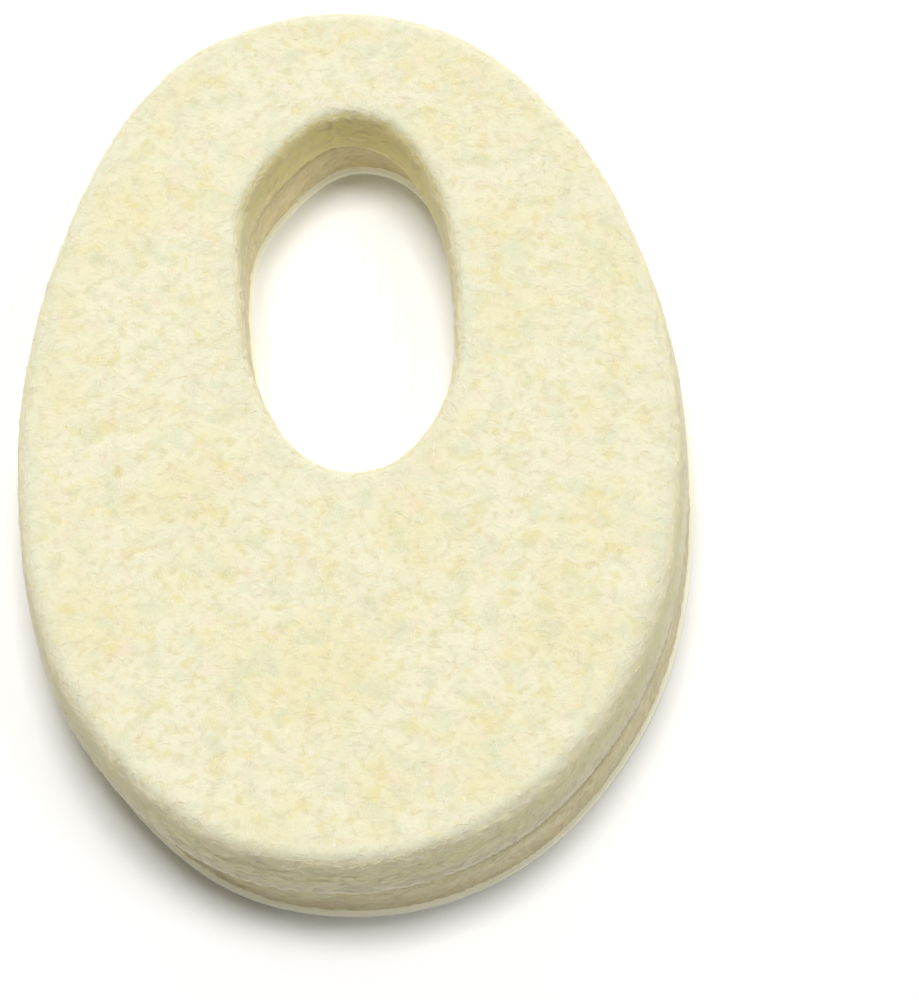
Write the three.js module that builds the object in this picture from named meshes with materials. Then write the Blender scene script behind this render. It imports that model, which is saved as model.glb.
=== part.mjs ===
// A felt callus pad that lies on the floor with its narrow, holed end towards +Y.
// Two plies of wool felt are laminated by a thin adhesive film, and a paper release liner covers the underside.
// Millimetres, +Z up. The origin is on the floor, under the middle of the pad's bounding box.
import * as THREE from "three";
import { ParametricGeometry } from "three/addons/geometries/ParametricGeometry.js";

// Outline of the upper ply at its widest line, which is its bottom edge.
const padWidth = 39;
const padLength = 56.6;

// The hole at the same height, and where its middle lies from the pad's middle.
const holeWidth = 12.4;
const holeLength = 22.9;
const holeAside = 0.43;
const holeAhead = 8.22;

// Thicknesses, from the floor up.
const linerThickness = 0.3;
const lowerPlyThickness = 2.65;
const filmThickness = 0.1;
const upperPlyThickness = 3.4;

// The die presses each ply out at its bottom edge (flare) and rounds its top edge (shoulder). It cut the
// upper ply at a slant, so that its top edge lies a little aside of and behind its bottom edge.
const upperFlare = 0.3;
const upperShoulder = 0.9;
const upperLeanAside = -0.2;
const upperLeanBehind = 0.05;
const upperHoleFlare = 0.05;
const upperHoleShoulder = 0.7;
const lowerFlare = 0.12;
const lowerShoulder = 0.2;

// The lower ply is a little smaller all round, its hole a little larger, and it lies out of register.
const lowerStepBack = 0.6;
const lowerHoleStepBack = 0.64;
const lowerAside = 0.64;
const lowerBehind = 0.52;

// The film ends a little inside the upper ply's edge, and the liner stands proud of the lower ply's edge.
const filmStepBack = 0.3;
const linerProud = 0.2;

// Fineness of the faceted outline.
const outlineSteps = 96;

// Outlines. turn is the direction in degrees from +X, and reach is the distance to the edge as a share
// of the half width and half length. A reach of 1 all round is an ellipse.
const PAD_OUTLINE = [
  { turn: 0, reach: 1.003 },
  { turn: 30, reach: 1.007 },
  { turn: 60, reach: 1.015 },
  { turn: 90, reach: 1.0 },
  { turn: 120, reach: 1.002 },
  { turn: 150, reach: 0.962 },
  { turn: 180, reach: 0.988 },
  { turn: 210, reach: 1.044 },
  { turn: 240, reach: 1.035 },
  { turn: 270, reach: 0.997 },
  { turn: 300, reach: 1.0 },
  { turn: 330, reach: 1.016 },
];
const HOLE_OUTLINE = [
  { turn: 0, reach: 0.986 },
  { turn: 30, reach: 1.026 },
  { turn: 60, reach: 1.058 },
  { turn: 90, reach: 1.03 },
  { turn: 120, reach: 0.99 },
  { turn: 150, reach: 1.037 },
  { turn: 180, reach: 0.96 },
  { turn: 210, reach: 0.995 },
  { turn: 240, reach: 1.004 },
  { turn: 270, reach: 0.995 },
  { turn: 300, reach: 1.01 },
  { turn: 330, reach: 1.03 },
];

// Section of a cut felt wall. rise is a share of the ply's thickness, flare is the share of the flare that
// is gone at that height, and shoulder is the share of the shoulder that the wall has drawn in.
const FELT_WALL = [
  { rise: 0.0, flare: 0.0, shoulder: 0.0 },
  { rise: 0.1, flare: 0.35, shoulder: 0.0 },
  { rise: 0.28, flare: 0.75, shoulder: 0.0 },
  { rise: 0.55, flare: 1.0, shoulder: 0.03 },
  { rise: 0.75, flare: 1.0, shoulder: 0.14 },
  { rise: 0.88, flare: 1.0, shoulder: 0.35 },
  { rise: 0.96, flare: 1.0, shoulder: 0.64 },
  { rise: 1.0, flare: 1.0, shoulder: 1.0 },
];

// Section of a thin sheet with square edges.
const SHEET_WALL = [
  { rise: 0.0, flare: 0.0, shoulder: 0.0 },
  { rise: 1.0, flare: 0.0, shoulder: 0.0 },
];

// A closed curve through an outline's rows, in shares of the half width and half length.
function outlineCurve(rows) {
  const points = rows.map(({ turn, reach }) => {
    const angle = THREE.MathUtils.degToRad(turn);
    return new THREE.Vector3(reach * Math.cos(angle), reach * Math.sin(angle), 0);
  });
  return new THREE.CatmullRomCurve3(points, true);
}

const padCurve = outlineCurve(PAD_OUTLINE);
const holeCurve = outlineCurve(HOLE_OUTLINE);

// A layer whose outer wall doesn't lean.
const upright = { aside: 0, behind: 0 };

// One layer of the pad: the outer wall from bottom to top, the top face, the hole's wall from top to bottom,
// and the bottom face, as one closed surface. Steps back are measured from the upper ply's bottom edge.
function layerGeometry({ thickness, wall, outer, hole, lean = upright }) {
  const outerSections = wall.map((row) => ({
    curve: padCurve,
    halfWidth: padWidth / 2 - outer.stepBack - row.flare * outer.flare - row.shoulder * outer.shoulder,
    halfLength: padLength / 2 - outer.stepBack - row.flare * outer.flare - row.shoulder * outer.shoulder,
    aside: row.rise * lean.aside,
    ahead: -row.rise * lean.behind,
    height: row.rise * thickness,
  }));
  const holeSections = wall.map((row) => ({
    curve: holeCurve,
    halfWidth: holeWidth / 2 + hole.stepBack + row.flare * hole.flare + row.shoulder * hole.shoulder,
    halfLength: holeLength / 2 + hole.stepBack + row.flare * hole.flare + row.shoulder * hole.shoulder,
    aside: holeAside,
    ahead: holeAhead,
    height: row.rise * thickness,
  }));
  const sections = [...outerSections, ...holeSections.reverse()];
  const surface = (around, along, target) => {
    const section = sections[Math.round(along * sections.length) % sections.length];
    const point = section.curve.getPoint(around % 1);
    target.set(
      section.aside + section.halfWidth * point.x,
      section.ahead + section.halfLength * point.y,
      section.height,
    );
  };
  return new ParametricGeometry(surface, outlineSteps, sections.length);
}

// Felt and paper colours, as they look in soft daylight.
const feltMaterial = new THREE.MeshStandardMaterial({ color: "#f0e9cc", roughness: 0.95, metalness: 0 });
const filmMaterial = new THREE.MeshStandardMaterial({ color: "#f6f1de", roughness: 0.5, metalness: 0 });
const linerMaterial = new THREE.MeshStandardMaterial({ color: "#fbfaf4", roughness: 0.6, metalness: 0 });

function layer(name, geometry, material, height, aside, behind) {
  const mesh = new THREE.Mesh(geometry, material);
  mesh.name = name;
  mesh.position.set(aside, -behind, height);
  return mesh;
}

// Release liner: white paper under the lower ply.
function releaseLiner() {
  const geometry = layerGeometry({
    thickness: linerThickness,
    wall: SHEET_WALL,
    outer: { stepBack: lowerStepBack - linerProud, flare: 0, shoulder: 0 },
    hole: { stepBack: lowerHoleStepBack - linerProud, flare: 0, shoulder: 0 },
  });
  return layer("release_liner", geometry, linerMaterial, 0, lowerAside, lowerBehind);
}

// Lower ply: felt, set back from the upper ply's edge and out of register with it.
function lowerPly() {
  const geometry = layerGeometry({
    thickness: lowerPlyThickness,
    wall: FELT_WALL,
    outer: { stepBack: lowerStepBack, flare: lowerFlare, shoulder: lowerShoulder },
    hole: { stepBack: lowerHoleStepBack, flare: lowerFlare, shoulder: lowerShoulder },
  });
  return layer("lower_felt_ply", geometry, feltMaterial, linerThickness, lowerAside, lowerBehind);
}

// Adhesive film: bonds the plies, and has the upper ply's outline.
function adhesiveFilm() {
  const geometry = layerGeometry({
    thickness: filmThickness,
    wall: SHEET_WALL,
    outer: { stepBack: filmStepBack, flare: 0, shoulder: 0 },
    hole: { stepBack: filmStepBack, flare: 0, shoulder: 0 },
  });
  return layer("adhesive_film", geometry, filmMaterial, linerThickness + lowerPlyThickness, 0, 0);
}

// Upper ply: the felt that shows from above.
function upperPly() {
  const geometry = layerGeometry({
    thickness: upperPlyThickness,
    wall: FELT_WALL,
    outer: { stepBack: 0, flare: upperFlare, shoulder: upperShoulder },
    hole: { stepBack: 0, flare: upperHoleFlare, shoulder: upperHoleShoulder },
    lean: { aside: upperLeanAside, behind: upperLeanBehind },
  });
  const height = linerThickness + lowerPlyThickness + filmThickness;
  return layer("upper_felt_ply", geometry, feltMaterial, height, 0, 0);
}

// The stack, moved so that the origin is under the middle of its bounding box.
const stack = new THREE.Group();
stack.add(releaseLiner(), lowerPly(), adhesiveFilm(), upperPly());
const middle = new THREE.Box3().setFromObject(stack).getCenter(new THREE.Vector3());
stack.position.set(-middle.x, -middle.y, 0);

const callusPad = new THREE.Group();
callusPad.add(stack);

export default callusPad;
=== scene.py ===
import math

import bmesh
import bpy
import numpy as np
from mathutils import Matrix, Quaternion, Vector, bvhtree, kdtree, noise


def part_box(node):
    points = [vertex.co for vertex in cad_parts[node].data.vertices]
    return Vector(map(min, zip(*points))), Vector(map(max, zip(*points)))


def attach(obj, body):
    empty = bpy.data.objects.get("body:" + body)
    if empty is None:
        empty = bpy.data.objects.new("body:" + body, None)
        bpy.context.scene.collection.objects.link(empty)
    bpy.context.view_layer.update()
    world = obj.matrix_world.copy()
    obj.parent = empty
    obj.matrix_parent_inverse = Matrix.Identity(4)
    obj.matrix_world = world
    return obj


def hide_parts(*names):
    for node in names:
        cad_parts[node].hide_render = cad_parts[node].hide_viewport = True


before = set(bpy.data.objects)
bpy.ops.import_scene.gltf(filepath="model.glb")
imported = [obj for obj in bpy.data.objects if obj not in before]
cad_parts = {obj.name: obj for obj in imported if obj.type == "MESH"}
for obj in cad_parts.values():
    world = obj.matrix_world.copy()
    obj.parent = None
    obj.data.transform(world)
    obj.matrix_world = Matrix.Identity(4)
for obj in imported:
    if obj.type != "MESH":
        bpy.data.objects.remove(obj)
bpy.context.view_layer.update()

MM = 0.001

# View: the pad is seen from in front and well above, and lies left of the picture's middle.
# The picture is turned a few degrees about the line of sight.
camera_place = Vector((4.34, -130.77, 250.72)) * MM
aim_point = Vector((5.89, -2.59, 0.0)) * MM
camera_roll = math.radians(-3.45)
lens_mm = 173.7
sensor_mm = 36.0
near_clip = 10 * MM

camera_data = bpy.data.cameras.new("photo_camera")
camera_data.sensor_fit = "VERTICAL"
camera_data.sensor_height = sensor_mm
camera_data.lens = lens_mm
camera_data.clip_start = near_clip
camera = bpy.data.objects.new("photo_camera", camera_data)
bpy.context.scene.collection.objects.link(camera)
line_of_sight = (aim_point - camera_place).to_track_quat("-Z", "Y")
camera.rotation_mode = "QUATERNION"
camera.rotation_quaternion = line_of_sight @ Quaternion((0, 0, 1), camera_roll)
camera.location = camera_place
bpy.context.scene.camera = camera
bpy.context.scene.view_settings.view_transform = "Standard"


# Light: a large soft box high up and behind the pad, and broad weak fills from behind and from the right.
# It burns the card out, leaves the near walls in shade and draws a short soft shadow in front.
lamp_place = Vector((-100, 455, 1550)) * MM
lamp_width = 900 * MM
lamp_depth = 560 * MM
lamp_watts = 22.0
fill_spread = math.radians(30)
room_white = (1.0, 0.99, 0.97, 1.0)
room_strength = 0.045

# Where each fill comes from, and its strength.
fills = {
    "back_fill": (Vector((0.0, 0.64, 0.77)), 0.35),
    "low_back_fill": (Vector((0.0, 0.94, 0.34)), 0.33),
    "right_fill": (Vector((0.62, 0.0, 0.78)), 0.6),
}

soft_box = bpy.data.lights.new("soft_box", "AREA")
soft_box.shape = "RECTANGLE"
soft_box.size = lamp_width
soft_box.size_y = lamp_depth
soft_box.energy = lamp_watts
lamps = [(soft_box, lamp_place)]
for name, (place, strength) in fills.items():
    fill = bpy.data.lights.new(name, "SUN")
    fill.energy = strength
    fill.angle = fill_spread
    lamps.append((fill, place))
for data, place in lamps:
    lamp = bpy.data.objects.new(data.name, data)
    lamp.rotation_mode = "QUATERNION"
    lamp.rotation_quaternion = (-place).to_track_quat("-Z", "Y")
    lamp.location = place
    bpy.context.scene.collection.objects.link(lamp)
room = bpy.data.worlds.new("pale_room")
room.use_nodes = True
room.node_tree.nodes["Background"].inputs["Color"].default_value = room_white
room.node_tree.nodes["Background"].inputs["Strength"].default_value = room_strength
bpy.context.scene.world = room


# Floor: matt white card, which has no gloss and is bright enough to burn out in the picture.
# A plain flat sheet, wide enough to fill every view.
card_white = "#fbfbfa"
card_width = 1600 * MM


def paint(code):
    """A colour given as sRGB hex, as linear red, green, blue and alpha."""
    shares = [int(code[i:i + 2], 16) / 255 for i in (1, 3, 5)]
    linear = [s / 12.92 if s <= 0.04045 else ((s + 0.055) / 1.055) ** 2.4 for s in shares]
    return (*linear, 1.0)


def add(tree, kind, inputs=None, **settings):
    """Adds a node, sets its properties, and fills or links its input sockets."""
    node = tree.nodes.new(kind)
    for key, value in settings.items():
        setattr(node, key, value)
    for key, value in (inputs or {}).items():
        if isinstance(value, bpy.types.NodeSocket):
            tree.links.new(value, node.inputs[key])
        else:
            node.inputs[key].default_value = value
    return node


def new_material(name):
    """An empty node material and its tree."""
    material = bpy.data.materials.new(name)
    material.use_nodes = True
    material.node_tree.nodes.clear()
    return material, material.node_tree


def finish_surface(tree, inputs):
    """Ends a material: one surface shader with these inputs, linked to the output."""
    shader = add(tree, "ShaderNodeBsdfPrincipled", inputs)
    add(tree, "ShaderNodeOutputMaterial", {"Surface": shader.outputs[0]})


def object_from(name, mesh, material):
    """A mesh as an object at the origin, with its material."""
    made = bpy.data.objects.new(name, mesh)
    mesh.materials.append(material)
    bpy.context.scene.collection.objects.link(made)
    return made


matt_card, tree = new_material("matt_white_card")
finish_surface(tree, {"Base Color": paint(card_white), "Roughness": 0.9, "Specular IOR Level": 0.1})
sheet = bmesh.new()
bmesh.ops.create_grid(sheet, x_segments=1, y_segments=1, size=card_width / 2)
floor_mesh = bpy.data.meshes.new("floor")
sheet.to_mesh(floor_mesh)
sheet.free()
floor = object_from("floor", floor_mesh, matt_card)


# Release liner: white siliconised paper under the pad, cut a little wider than the felt.
# The silicone gives it a soft gloss, and the paper's own fibres cloud it slightly. A faint glow of its own is
# painted on, which is painted light, so that its edge stays pale in the pad's shade.
liner_white = "#f1eeda"
liner_cloud = "#e6e3cd"
painted_liner_glow = 0.22
paper_fibre = 0.25 * MM
paper_cloud = 2.5 * MM
paper_relief = 0.02 * MM
silicone_roughness = {"To Min": 0.38, "To Max": 0.55}


def coated(tree, colour, *coats):
    """A colour with others laid over it in turn: each is its colour, where it lies, and its share there."""
    for coat, where, share in coats:
        cover = add(tree, "ShaderNodeMath", {0: where, 1: share}, operation="MULTIPLY").outputs[0]
        mixed = add(tree, "ShaderNodeMix", {"Factor": cover, "A": colour, "B": coat}, data_type="RGBA")
        colour = mixed.outputs["Result"]
    return colour


liner_paper, tree = new_material("siliconised_liner_paper")
place = add(tree, "ShaderNodeTexCoord").outputs["Object"]
clouds = add(tree, "ShaderNodeTexNoise", {
    "Vector": place, "Scale": 1 / paper_cloud, "Detail": 2,
}).outputs["Fac"]
fibres = add(tree, "ShaderNodeTexNoise", {
    "Vector": place, "Scale": 1 / paper_fibre, "Detail": 3, "Distortion": 1.5,
}).outputs["Fac"]
gloss = add(tree, "ShaderNodeMapRange", {"Value": fibres, **silicone_roughness})
relief = add(tree, "ShaderNodeBump", {"Height": fibres, "Strength": 0.25, "Distance": paper_relief})
finish_surface(tree, {
    "Base Color": coated(tree, paint(liner_white), (paint(liner_cloud), clouds, 1.0)),
    "Roughness": gloss.outputs[0],
    "Normal": relief.outputs[0],
    # Painted light: the paper glows faintly, though it is no lamp.
    "Emission Color": paint(liner_white),
    "Emission Strength": painted_liner_glow,
})
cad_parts["release_liner"].material_slots[0].material = liner_paper


# Lower felt ply: pressed wool felt, die-cut, so its wall is rough and its top and bottom are flat.
# It lies in the upper ply's shade, and its cut wall is painted a little darker and browner than the upper
# ply's, which is painted shade.
lower_voxel = 0.25 * MM
lower_seed = 11
merge_reach = 0.001 * MM
lower_cream_and_shade = "#f8ecbf"
lower_strand = "#fbf4d8"
lower_strand_share = 0.3

# Flecks of other wool: colour, size in mm, noise where a fleck starts and where it is full, and share.
lower_flecks = (
    ("#f2e0ac", 2.4, 0.46, 0.62, 0.7),
    ("#ebdfae", 1.5, 0.5, 0.66, 0.7),
    ("#ecd6b2", 1.2, 0.52, 0.68, 0.5),
    ("#fbf4da", 0.8, 0.54, 0.7, 0.6),
)
# Each colour's flecks are taken from another place in the noise, so that they don't lie on each other:
# this much further for each row of the table, and for each mm of their size.
fleck_row_step = 50 * MM
fleck_size_step = 20 * MM
# Flecks and tufts on a cut wall are this much longer along it than up it.
along_wall = (1.0, 1.0, 2.2)

# Streaks of matted fibre: direction in degrees, then length, thickness and depth in mm. Wool is a quarter
# as thick as this, but wouldn't show.
strand_runs = (
    (12, (0.7, 0.1, 0.4)),
    (60, (0.8, 0.1, 0.4)),
    (104, (0.7, 0.1, 0.4)),
    (150, (0.8, 0.1, 0.4)),
)
strand_noise = (0.52, 0.8)
swirl_size = 1.6 * MM
swirl_reach = 1.0 * MM
nap_size = 0.25 * MM
nap_depth = 0.06 * MM
wool_light = (1.0, 0.8, 0.45)
wool_light_depth = 0.8 * MM

# Where a surface counts as cut wall and where as face, by how far its normal points up or down, and how far
# the greyer rim reaches on the top face, measured from its edge.
wall_to_face = (0.45, 0.9)
rim_reach = (0.1 * MM, 1.7 * MM)
far_away = 1000 * MM

# Bumps of a cut wall in mm: depth, width, and a seed of their own. The hollows and tufts are drawn out along
# the wall, and the matting isn't. All are weaker near the foot of the wall, where the felt is pressed.
wall_tufts = ((0.05, 2.2, 0), (0.045, 0.8, 5))
wall_matting = ((0.03, 0.4, 9),)
foot_relief = 0.4
foot_height = 0.3

# The hole's middle, an oval that holds its walls, and how far ahead of its middle its end starts and is full.
hole_x = 0.35 * MM
hole_y = 8.28 * MM
hole_reach_x = 7.6 * MM
hole_reach_y = 12.9 * MM
hole_end_reach = (2.0 * MM, 10.0 * MM)


def noise_share(tree, vector, low, high, **inputs):
    """A noise cloud as a share: 0 where it is below low, 1 above high."""
    cloud = add(tree, "ShaderNodeTexNoise", {"Vector": vector, **inputs})
    return add(tree, "ShaderNodeMapRange", {
        "Value": cloud.outputs["Fac"], "From Min": low, "From Max": high,
    }).outputs[0]


def flecked(tree, place, colour, flecks):
    """Wool of one colour with soft flecks of others."""
    for number, (code, size, low, high, most) in enumerate(flecks):
        step = (fleck_row_step * number + fleck_size_step * size,) * 3
        moved = add(tree, "ShaderNodeVectorMath", {0: place, 1: step}, operation="ADD").outputs[0]
        where = noise_share(tree, moved, low, high, Scale=1 / (size * MM), Detail=2, Roughness=0.6)
        colour = coated(tree, colour, (paint(code), where, most))
    return colour


def curled(tree, place):
    """Object coordinates bent by a soft swirl, so that flecks and strands curl as matted wool does."""
    swirl = add(tree, "ShaderNodeTexNoise", {"Vector": place, "Scale": 1 / swirl_size, "Detail": 1})
    return add(tree, "ShaderNodeVectorMath", {
        0: swirl.outputs["Color"], 1: (swirl_reach,) * 3, 2: place,
    }, operation="MULTIPLY_ADD").outputs[0]


def matted_strands(tree, bent):
    """Short streaks of matted fibre that cross each other: 0 off them, 1 on them."""
    most = 0.0
    for turn, size in strand_runs:
        turned = add(tree, "ShaderNodeMapping", {
            "Vector": bent, "Rotation": (0, 0, math.radians(turn)), "Scale": [length * MM for length in size],
        }, vector_type="TEXTURE").outputs[0]
        share = noise_share(tree, turned, *strand_noise, Detail=0)
        most = add(tree, "ShaderNodeMath", {0: most, 1: share}, operation="MAXIMUM").outputs[0]
    return most


def finish_felt(tree, place, colour):
    """Felt's surface over its colour: a fine dull nap, and wool's soft light inside it."""
    nap = add(tree, "ShaderNodeTexNoise", {
        "Vector": place, "Scale": 1 / nap_size, "Detail": 2, "Roughness": 0.6,
    }).outputs["Fac"]
    bump = add(tree, "ShaderNodeBump", {"Height": nap, "Strength": 0.5, "Distance": nap_depth})
    finish_surface(tree, {
        "Base Color": colour,
        "Roughness": 1.0,
        "Specular IOR Level": 0.1,
        "Sheen Weight": 0.1,
        "Sheen Roughness": 0.6,
        "Subsurface Weight": 0.2,
        "Subsurface Radius": wool_light,
        "Subsurface Scale": wool_light_depth,
        "Normal": bump.outputs[0],
    })


def smooth_share(low, high, value):
    """0 below low, 1 above high, and a smooth rise between, for numbers or arrays."""
    share = np.clip((value - low) / (high - low), 0.0, 1.0)
    return share * share * (3 - 2 * share)


def bump_depth(point, bumps, seed):
    """How far a table of bumps stands out at a point, in mm."""
    depth = 0.0
    for deep, wide, own_seed in bumps:
        start = seed + own_seed
        depth += deep * noise.noise(point / (wide * MM) + Vector((start, 2 * start, 3 * start)))
    return depth


def remeshed(name, solid, voxel):
    """A fine even mesh round a solid."""
    rough = bpy.data.meshes.new(name + "_solid")
    solid.to_mesh(rough)
    draft = bpy.data.objects.new(name + "_draft", rough)
    bpy.context.scene.collection.objects.link(draft)
    remesh = draft.modifiers.new("remesh", "REMESH")
    remesh.mode = "VOXEL"
    remesh.voxel_size = voxel
    fine = bpy.data.meshes.new_from_object(draft.evaluated_get(bpy.context.evaluated_depsgraph_get()))
    bpy.data.objects.remove(draft)
    bpy.data.meshes.remove(rough)
    fine.name = name
    return fine


def reach_from_edge(felt, walls, upright):
    """How far each point of the top face lies from its rounded edge, and far away for every other point."""
    shoulder = (walls > 0.5) & (upright > 0)
    edge = kdtree.KDTree(int(shoulder.sum()))
    for index, (vert, near) in enumerate(zip(felt.verts, shoulder)):
        if near:
            edge.insert(vert.co, index)
    edge.balance()
    return np.array([edge.find(v.co)[2] if z > 0.5 else far_away for v, z in zip(felt.verts, upright)])


def felt_ply(name, node, voxel, relief, material):
    """A ply cut from felt: its solid, meshed fine and roughened by relief(point, normal, wall, rise)."""
    solid = bmesh.new()
    solid.from_mesh(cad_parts[node].data)
    bmesh.ops.remove_doubles(solid, verts=solid.verts, dist=merge_reach)
    cut_surface = bvhtree.BVHTree.FromBMesh(solid)
    fine = remeshed(name, solid, voxel)
    solid.free()
    felt = bmesh.new()
    felt.from_mesh(fine)
    for vert in felt.verts:
        vert.co = cut_surface.find_nearest(vert.co)[0]
    felt.normal_update()
    low, high = (corner[2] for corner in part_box(node))
    rises = np.array([(v.co.z - low) / (high - low) for v in felt.verts])
    upright = np.array([v.normal.z for v in felt.verts])
    walls = 1 - smooth_share(*wall_to_face, np.abs(upright))
    rim = 1 - smooth_share(*rim_reach, reach_from_edge(felt, walls, upright))
    moves = [relief(v.co, v.normal, w, r) for v, w, r in zip(felt.verts, walls, rises)]
    for vert, move in zip(felt.verts, moves):
        vert.co += move
    felt.to_mesh(fine)
    felt.free()
    places = np.array([v.co for v in fine.vertices])
    aside = (places[:, 0] - hole_x) / hole_reach_x
    ahead = (places[:, 1] - hole_y) / hole_reach_y
    hole_end = (aside ** 2 + ahead ** 2 < 1) * smooth_share(*hole_end_reach, places[:, 1] - hole_y)
    for layer, values in (("cut_wall", walls), ("rim", rim), ("rise", rises), ("hole_end", hole_end)):
        fine.attributes.new(layer, "FLOAT", "POINT").data.foreach_set("value", values)
    fine.polygons.foreach_set("use_smooth", [True] * len(fine.polygons))
    return object_from(name, fine, material)


def wall_relief(point, normal, wall, rise, seed):
    """How far a cut wall's point moves, for its hollows, tufts and matting."""
    along = Vector((point.x, point.y, along_wall[2] * point.z))
    depth = bump_depth(along, wall_tufts, seed) + bump_depth(point, wall_matting, seed)
    level = Vector((normal.x, normal.y, max(normal.z, 0.0)))
    above_foot = foot_relief + (1 - foot_relief) * smooth_share(0.0, foot_height, rise)
    return level * (wall * depth * above_foot * MM)


def lower_relief(point, normal, wall, rise):
    """The lower ply is roughened on its cut walls only."""
    return wall_relief(point, normal, wall, rise, lower_seed)


# Cut wool felt: soft and without shine, with browner flecks drawn out along the wall and pale strands.
# Its colours are a little darker than the upper ply's wall, as painted shade, and lighter and yellower than
# the top face, as painted bounce light.
lower_felt, tree = new_material("pressed_wool_felt_cut_wall")
place = add(tree, "ShaderNodeTexCoord").outputs["Object"]
bent = curled(tree, place)
strands = matted_strands(tree, bent)
drawn_out = add(tree, "ShaderNodeMapping", {"Vector": bent, "Scale": along_wall}).outputs[0]
colour = flecked(tree, drawn_out, paint(lower_cream_and_shade), lower_flecks)
finish_felt(tree, place, coated(tree, colour, (paint(lower_strand), strands, lower_strand_share)))
lower_ply = felt_ply("lower_ply", "lower_felt_ply", lower_voxel, lower_relief, lower_felt)
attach(lower_ply, "root")
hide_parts("lower_felt_ply")


# Loose wool along the lower ply's cut: fibre ends that the die leaves standing, most of them lying along the
# wall. Each is a closed three-sided thread with pointed ends, drawn a little thicker than wool to show.
fibre_width = 0.03 * MM
fibre_rings = 2
fibre_flatness = 0.4
floor_gap = 0.01 * MM
lower_fibres = 6000
lower_fibre_seed = 5
lower_fibre_length = 0.6 * MM
lower_wall_normal = 0.75
# The shaded fibres' darker colours are painted shade.
shaded_fibre = ("#e6dab0", "#f8f1d6")

# How fibres vary: their sideways bend and wave as shares of their length, their thickness, how far their
# middle arches and their root is buried as shares of half their thickness, and how late their tip lifts.
fibre_bend = 0.14
fibre_wave = 0.07
fibre_girths = (0.7, 1.25)
fibre_arches = (0.1, 0.5)
fibre_burial = 0.6
lift_curve = 1.5

# Fibres of a cut wall: how far they turn off the level in radians, their lengths as shares of the middle
# length, and how far their tips stand off and how those distances are spread.
wall_fibre_turn = 0.5
wall_fibre_lengths = (0.5, 1.5)
wall_fibre_lift = 0.03 * MM
wall_lift_spread = 1.2

# Patches where the wool is darker.
patch_size = 1.5 * MM
patch_noise = (0.4, 0.6)
patch_share = 0.4


def wool_fibre(name, dark, pale):
    """Single wool fibres, dull and opaque, from one shade to another, with patches of the darker."""
    material, tree = new_material(name)
    place = add(tree, "ShaderNodeTexCoord").outputs["Object"]
    shade = add(tree, "ShaderNodeAttribute", attribute_name="shade").outputs["Fac"]
    patch = noise_share(tree, place, *patch_noise, Scale=1 / patch_size, Detail=1)
    finish_surface(tree, {
        "Base Color": coated(tree, paint(dark), (paint(pale), shade, 1.0), (paint(dark), patch, patch_share)),
        "Roughness": 1.0,
        "Specular IOR Level": 0.1,
        "Sheen Weight": 0.2,
        "Sheen Roughness": 0.6,
    })
    return material


def roots_on(piece, count, rng, weight):
    """Random places on a piece, thicker where weight(normals) is higher: points and normals."""
    mesh = piece.data
    mesh.calc_loop_triangles()
    corners = np.zeros(len(mesh.loop_triangles) * 3, dtype=np.int32)
    mesh.loop_triangles.foreach_get("vertices", corners)
    points = np.zeros(len(mesh.vertices) * 3)
    mesh.vertices.foreach_get("co", points)
    ends = points.reshape(-1, 3)[corners.reshape(-1, 3)]
    cross = np.cross(ends[:, 1] - ends[:, 0], ends[:, 2] - ends[:, 0])
    area = np.linalg.norm(cross, axis=1)
    normals = cross / area[:, None]
    chance = area * weight(normals)
    chosen = rng.choice(len(area), size=count, p=chance / chance.sum())
    shares = rng.dirichlet((1, 1, 1), size=count)
    return (ends[chosen] * shares[:, :, None]).sum(axis=1), normals[chosen]


def unit(vectors):
    """Vectors brought to length 1."""
    return vectors / np.linalg.norm(vectors, axis=1)[:, None]


def thread_faces(rings):
    """The faces of one thread: from its root's point through rings of three corners to its tip's point."""
    tip = 3 * rings + 1
    faces = [(0, 1 + (k + 1) % 3, 1 + k) for k in range(3)]
    faces += [(tip, tip - 3 + k, tip - 3 + (k + 1) % 3) for k in range(3)]
    for ring in range(rings - 1):
        start = 1 + 3 * ring
        for k in range(3):
            turned = (k + 1) % 3
            faces.append((start + k, start + turned, start + 3 + turned))
            faces.append((start + k, start + 3 + turned, start + 3 + k))
    return np.array(faces)


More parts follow.
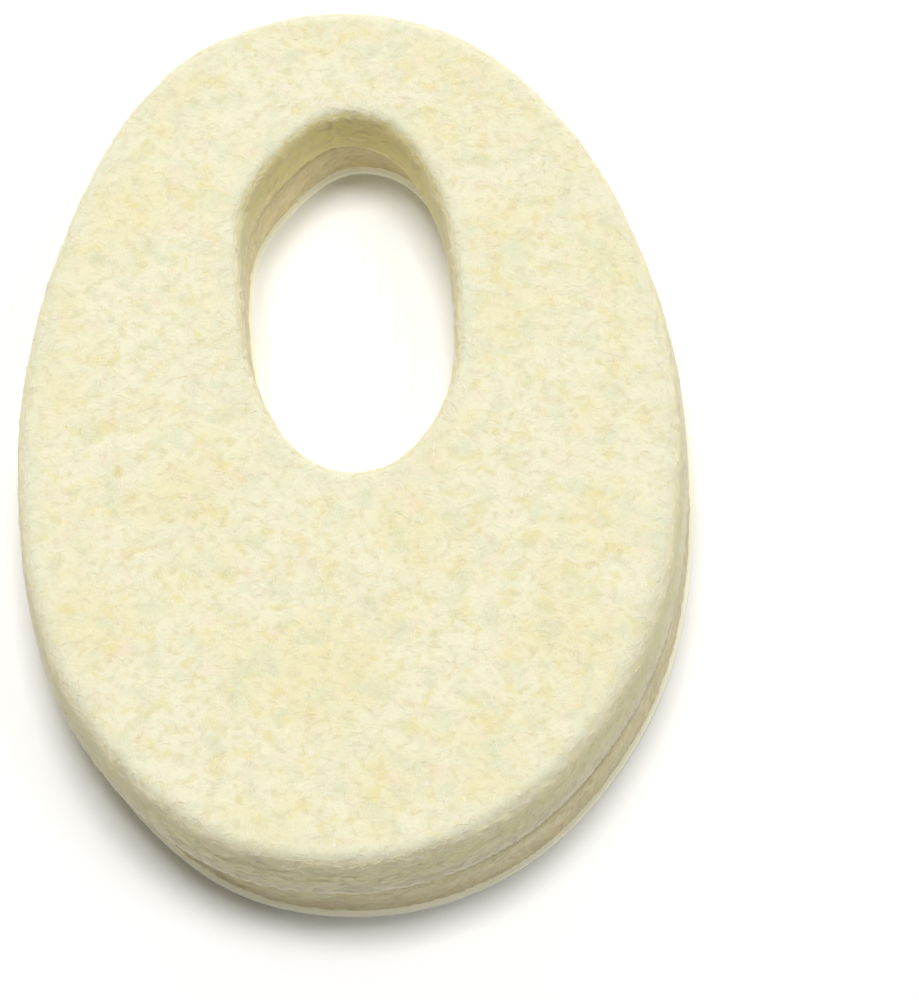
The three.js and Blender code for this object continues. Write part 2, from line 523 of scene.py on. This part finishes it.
def fibres_at(name, points, normals, along, lengths, lifts, rng, material):
    """Wool fibres as one mesh, pressed flat. Each bends sideways, its root is buried and its tip lifts."""
    count = len(points)
    side = np.cross(normals, along)
    bend = rng.normal(0, fibre_bend, count)
    wave = rng.normal(0, fibre_wave, count)
    girth = fibre_width * rng.uniform(*fibre_girths, count) / 2
    arch = rng.uniform(*fibre_arches, count) * girth
    spine = []
    for s in np.linspace(0, 1, fibre_rings + 2):
        bow = math.sin(math.pi * s)
        sideways = lengths * (bend * bow + wave * math.sin(2 * math.pi * s))
        height = arch * bow + lifts * s ** lift_curve - fibre_burial * girth * (1 - s) ** 2
        shift = along * ((s - 0.5) * lengths)[:, None]
        spine.append(points + shift + side * sideways[:, None] + normals * height[:, None])
    verts = np.zeros((count, 3 * fibre_rings + 2, 3))
    verts[:, 0] = spine[0]
    verts[:, -1] = spine[-1]
    for ring in range(fibre_rings):
        for corner in range(3):
            turn = math.pi / 2 + corner * 2 * math.pi / 3
            spoke = side * math.cos(turn) + normals * (fibre_flatness * math.sin(turn))
            verts[:, 1 + 3 * ring + corner] = spine[ring + 1] + spoke * girth[:, None]
    verts = verts[verts[:, :, 2].min(axis=1) > floor_gap]
    count, corners = verts.shape[:2]
    starts = (np.arange(count) * corners)[:, None, None]
    faces = (thread_faces(fibre_rings)[None] + starts).reshape(-1, 3)
    mesh = bpy.data.meshes.new(name)
    mesh.from_pydata(verts.reshape(-1, 3), [], faces)
    shades = np.repeat(rng.uniform(0, 1, count), corners)
    mesh.attributes.new("shade", "FLOAT", "POINT").data.foreach_set("value", shades)
    return object_from(name, mesh, material)


def wall_fibres(name, piece, count, seed, weight, length, material):
    """Fibres that lie mostly level along a piece's cut walls, with their tips standing off."""
    rng = np.random.default_rng(seed)
    points, normals = roots_on(piece, count, rng, weight)
    level = unit(np.cross(normals, (0.0, 0.0, 1.0)) + 1e-6)
    rise = np.cross(level, normals)
    turn = rng.normal(0, wall_fibre_turn, count) + math.pi * rng.integers(0, 2, count)
    along = unit(level * np.cos(turn)[:, None] + rise * np.sin(turn)[:, None])
    lengths = rng.uniform(*wall_fibre_lengths, count) * length
    lifts = rng.gamma(wall_lift_spread, wall_fibre_lift, count)
    return fibres_at(name, points, normals, along, lengths, lifts, rng, material)


def lower_cut(normals):
    """Fibres stand all over the lower ply's walls."""
    return (np.abs(normals[:, 2]) < lower_wall_normal).astype(float)


# Loose wool in the pad's shade: dull threads from buff to cream, a darker copy of the lit fibres, whose
# darkness is painted shade.
lower_wool = wool_fibre("loose_wool_fibre_shaded", *shaded_fibre)
lower_fuzz = wall_fibres(
    "lower_cut_fibres", lower_ply, lower_fibres, lower_fibre_seed, lower_cut, lower_fibre_length, lower_wool,
)
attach(lower_fuzz, "root")


# Adhesive film between the plies: a clear acrylic film that ends just inside the upper ply's edge.
# Its cut edge shows as a pale glossy line that lint clings to.
film_clear = "#f6f0da"
film_lint = "#d9cfae"
lint_size = 0.4 * MM
lint_share = {"From Min": 0.5, "From Max": 0.65}
film_roughness = {"To Min": 0.25, "To Max": 0.6}

acrylic_film, tree = new_material("acrylic_adhesive_film")
place = add(tree, "ShaderNodeTexCoord").outputs["Object"]
lint = add(tree, "ShaderNodeTexNoise", {"Vector": place, "Scale": 1 / lint_size, "Detail": 2}).outputs["Fac"]
where = add(tree, "ShaderNodeMapRange", {"Value": lint, **lint_share}).outputs[0]
gloss = add(tree, "ShaderNodeMapRange", {"Value": lint, **film_roughness}).outputs[0]
finish_surface(tree, {
    "Base Color": coated(tree, paint(film_clear), (paint(film_lint), where, 1.0)),
    "Roughness": gloss,
    "IOR": 1.47,
})
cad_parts["adhesive_film"].material_slots[0].material = acrylic_film


# Upper felt ply: the same felt, whose pressed top face shows.
# Its face has soft hollows and small matted bumps, and its edges are rounded by the die.
upper_voxel = 0.21 * MM
upper_seed = 3
face_cream = "#eee9c9"

# Flecks of other wool, with the same columns as the lower ply's.
face_flecks = (
    ("#eadda2", 6.0, 0.42, 0.66, 0.45),
    ("#eed8c0", 1.5, 0.53, 0.7, 0.4),
    ("#e4d68f", 1.1, 0.53, 0.68, 0.55),
    ("#d8dcba", 1.6, 0.5, 0.68, 0.6),
    ("#d6cb9c", 0.6, 0.5, 0.72, 0.6),
)
rim_cream = "#dde0c8"
rim_share = 0.4
speck_brown = "#d2c078"
speck_share = 0.6
speck_spacing = 5.5 * MM
speck_edge = {"From Min": 0.02, "From Max": 0.09, "To Min": 1, "To Max": 0}
strand_white = "#fffceb"
strand_share = 0.25
# The cut wall's cream is lighter and yellower than the face: the wool's cream with painted bounce light.
wall_cream_and_bounce = "#fff4c8"
upper_flecks = (
    ("#f8e6b6", 2.2, 0.5, 0.66, 0.6),
    ("#efe5b6", 1.4, 0.52, 0.68, 0.6),
    ("#fff7e0", 1.0, 0.52, 0.68, 0.6),
)
# Painted shade: an olive band on the cut wall just below its rounded top edge.
painted_shoulder_shade = "#f3ebb4"
seam_pink = "#fff0d6"
seam_share = 0.7
# Painted light: the warm light bounced about in the far end of the hole.
painted_hole_bounce = "#fff0a2"
hole_share = 0.8

# Bands up the cut wall, by the share of its height: where each starts and ends, and its strength there.
shoulder_starts = {"From Min": 0.2, "From Max": 0.45, "To Min": 0, "To Max": 0.8}
shoulder_ends = {"From Min": 0.6, "From Max": 0.9, "To Min": 1, "To Max": 0}
seam_ends = {"From Min": 0.05, "From Max": 0.25, "To Min": 1, "To Max": 0}

# Bumps of the top face in mm: depth, width and seed, for its slow swell and its coarse and fine grain.
face_bumps = ((0.05, 5.0, 21), (0.03, 1.2, 31), (0.025, 0.5, 41))
face_normal = 0.2


def upper_relief(point, normal, wall, rise):
    """The upper ply is roughened on its cut walls, and its top face swells and is grained."""
    tufts = wall_relief(point, normal, wall, rise, upper_seed)
    if normal.z < face_normal:
        return tufts
    return tufts + normal * bump_depth(point, face_bumps, 0) * MM


# Pressed wool felt: cream, soft and without shine, mottled by flecks of ochre, pink and grey-green wool, with
# a few brown specks, a greyer rim, and pale matted strands. Its cut wall is painted lighter and yellower than
# the face, which is painted bounce light, most of all in the far end of the hole; it has an olive band of
# painted shade below its rounded top edge, and is a little pink along its foot.
upper_felt, tree = new_material("pressed_wool_felt")
place = add(tree, "ShaderNodeTexCoord").outputs["Object"]
bent = curled(tree, place)
strands = matted_strands(tree, bent)
rise, rim, wall, hole_end = (
    add(tree, "ShaderNodeAttribute", attribute_name=layer).outputs["Fac"]
    for layer in ("rise", "rim", "cut_wall", "hole_end")
)
cells = add(tree, "ShaderNodeTexVoronoi", {"Vector": bent, "Scale": 1 / speck_spacing}).outputs["Distance"]
speck = add(tree, "ShaderNodeMapRange", {"Value": cells, **speck_edge}).outputs[0]
shoulder_low, shoulder_high, seam = (
    add(tree, "ShaderNodeMapRange", {"Value": rise, **band}, interpolation_type="SMOOTHSTEP").outputs[0]
    for band in (shoulder_starts, shoulder_ends, seam_ends)
)
face = coated(
    tree, flecked(tree, bent, paint(face_cream), face_flecks),
    (paint(speck_brown), speck, speck_share),
    (paint(rim_cream), rim, rim_share),
)
drawn_out = add(tree, "ShaderNodeMapping", {"Vector": bent, "Scale": along_wall}).outputs[0]
cut = coated(
    tree, flecked(tree, drawn_out, paint(wall_cream_and_bounce), upper_flecks),
    (paint(painted_shoulder_shade), shoulder_low, shoulder_high),
    (paint(seam_pink), seam, seam_share),
    (paint(painted_hole_bounce), hole_end, hole_share),
)
colour = coated(tree, face, (cut, wall, 1.0), (paint(strand_white), strands, strand_share))
finish_felt(tree, place, colour)
upper_ply = felt_ply("upper_ply", "upper_felt_ply", upper_voxel, upper_relief, upper_felt)
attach(upper_ply, "root")
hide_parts("upper_felt_ply")


# Loose wool along the upper ply's cut, outside and in the hole: the same fibre ends, in better light.
# It roughens the round top edge and hides the line of the film here and there.
upper_fibres = 11000
upper_fibre_seed = 6
upper_fibre_length = 0.7 * MM
upper_wall_normal = 0.85
shoulder_normal = 0.5
shoulder_spread = 0.3
lit_fibre = ("#f6eecb", "#fffdf2")


def upper_cut(normals):
    """Fibres stand all over the upper ply's walls, and twice as thick along its rounded top edge."""
    shoulder = np.exp(-((normals[:, 2] - shoulder_normal) / shoulder_spread) ** 2)
    return (np.abs(normals[:, 2]) < upper_wall_normal) * (1 + shoulder)


# Loose wool in the light: dull threads from cream to nearly white, a lighter copy of the shaded fibres, whose
# lightness is painted light.
upper_wool = wool_fibre("loose_wool_fibre", *lit_fibre)
upper_fuzz = wall_fibres(
    "upper_cut_fibres", upper_ply, upper_fibres, upper_fibre_seed, upper_cut, upper_fibre_length, upper_wool,
)
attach(upper_fuzz, "root")


# Nap of the top face: single wool fibres, matted in every direction by the pressing.
# Each is pressed flat, and some have a loose tip.
nap_fibres = 9000
nap_seed = 7
nap_shortest = 0.4
nap_longest = 1.5
nap_lift = 0.006 * MM
nap_normal = 0.8


def top_face(normals):
    """Nap lies on the top face only."""
    return (normals[:, 2] > nap_normal).astype(float)


rng = np.random.default_rng(nap_seed)
points, normals = roots_on(upper_ply, nap_fibres, rng, top_face)
turn = rng.uniform(0, 2 * math.pi, nap_fibres)
flat = np.stack([np.cos(turn), np.sin(turn), np.zeros(nap_fibres)], axis=1)
along = unit(flat - normals * (flat * normals).sum(axis=1)[:, None])
lengths = rng.uniform(nap_shortest, nap_longest, nap_fibres) * MM
lifts = rng.gamma(1.0, nap_lift, nap_fibres)
top_nap = fibres_at("top_face_nap", points, normals, along, lengths, lifts, rng, upper_wool)
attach(top_nap, "root")
